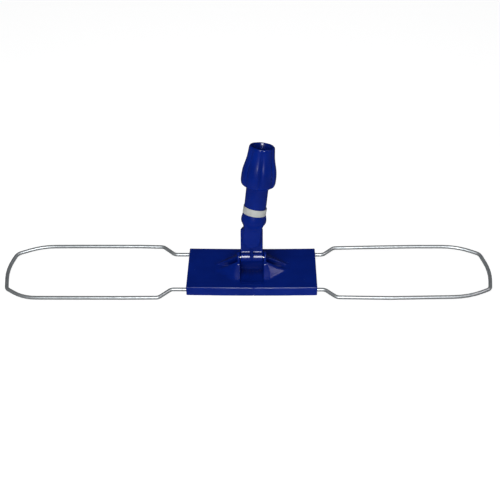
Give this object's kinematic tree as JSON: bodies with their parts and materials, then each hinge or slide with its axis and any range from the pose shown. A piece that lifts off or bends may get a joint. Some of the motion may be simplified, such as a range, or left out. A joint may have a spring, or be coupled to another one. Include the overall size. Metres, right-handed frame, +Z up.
{
  "type": "dust mop frame",
  "caption": "Moulded mop frame plate with sliding wire loops at its ends and a swivel neck whose fluted nut clamps a pole.",
  "frame": {"origin": "centre of the plate's flat underside, on the surface that it stands on", "axes": "+X along the frame, to the right seen from the front; -Y to the front, +Y to the rear, where the neck leans; +Z up"},
  "size_m": [0.7609, 0.1285, 0.2146],
  "materials": {
    "blue_plastic": "moulded, semi-gloss, faint flow ripple",
    "white_band": "satin",
    "zinc_wire": "galvanised, satin",
    "pin_steel": "zinc plated"
  },
  "bodies": {
    "plate": {"top_cover": "blue_plastic", "base_plate": "blue_plastic", "clamp_bar_left": "blue_plastic", "clamp_bar_right": "blue_plastic", "hinge_pin": "pin_steel", "clamp_screw_left_front": "pin_steel", "clamp_screw_left_rear": "pin_steel", "clamp_screw_right_front": "pin_steel", "clamp_screw_right_rear": "pin_steel", "base_screw_left_front": "pin_steel", "base_screw_left_rear": "pin_steel", "base_screw_right_front": "pin_steel", "base_screw_right_rear": "pin_steel"},
    "loop_left": {"wire_loop_left": "zinc_wire"},
    "loop_right": {"wire_loop_right": "zinc_wire"},
    "neck_link": {"knuckle": "blue_plastic"},
    "pole_socket": {"socket": "blue_plastic", "side_pin": "pin_steel", "marker_ring": "white_band"},
    "collet": {"collet": "blue_plastic"},
    "nut": {"collar_nut": "blue_plastic"}
  },
  "joints": [
    {"name": "neck_tilt", "type": "hinge", "parent": "plate", "child": "neck_link", "pos_m": [0, 0, 0.036], "axis": [1, 0, 0], "range_deg": [-73, 103]},
    {"name": "neck_side", "type": "hinge", "parent": "neck_link", "child": "pole_socket", "pos_m": [0, 0.0089, 0.06923], "axis": [0, 0.9659, -0.2588], "range_deg": [-66.3, 53.7]},
    {"name": "collet_slide", "type": "slide", "parent": "pole_socket", "child": "collet", "axis": [0.1097, 0.2573, 0.9601], "range_m": [-0.0026, 0.0051]},
    {"name": "nut_turn", "type": "hinge", "parent": "collet", "child": "nut", "pos_m": [0, 0.0089, 0.06923], "axis": [0.1097, 0.2573, 0.9601], "range_deg": [-225, 450]},
    {"name": "left_loop_slide", "type": "slide", "parent": "plate", "child": "loop_left", "axis": [-1, 0, 0], "range_m": [-0.0205, 0.001]},
    {"name": "right_loop_slide", "type": "slide", "parent": "plate", "child": "loop_right", "axis": [1, 0, 0], "range_m": [-0.0085, 0.0135]}
  ],
  "couplings": [
    {"joint": "collet_slide", "follows": "nut_turn", "m_per_rad": 0.00063662}
  ]
}
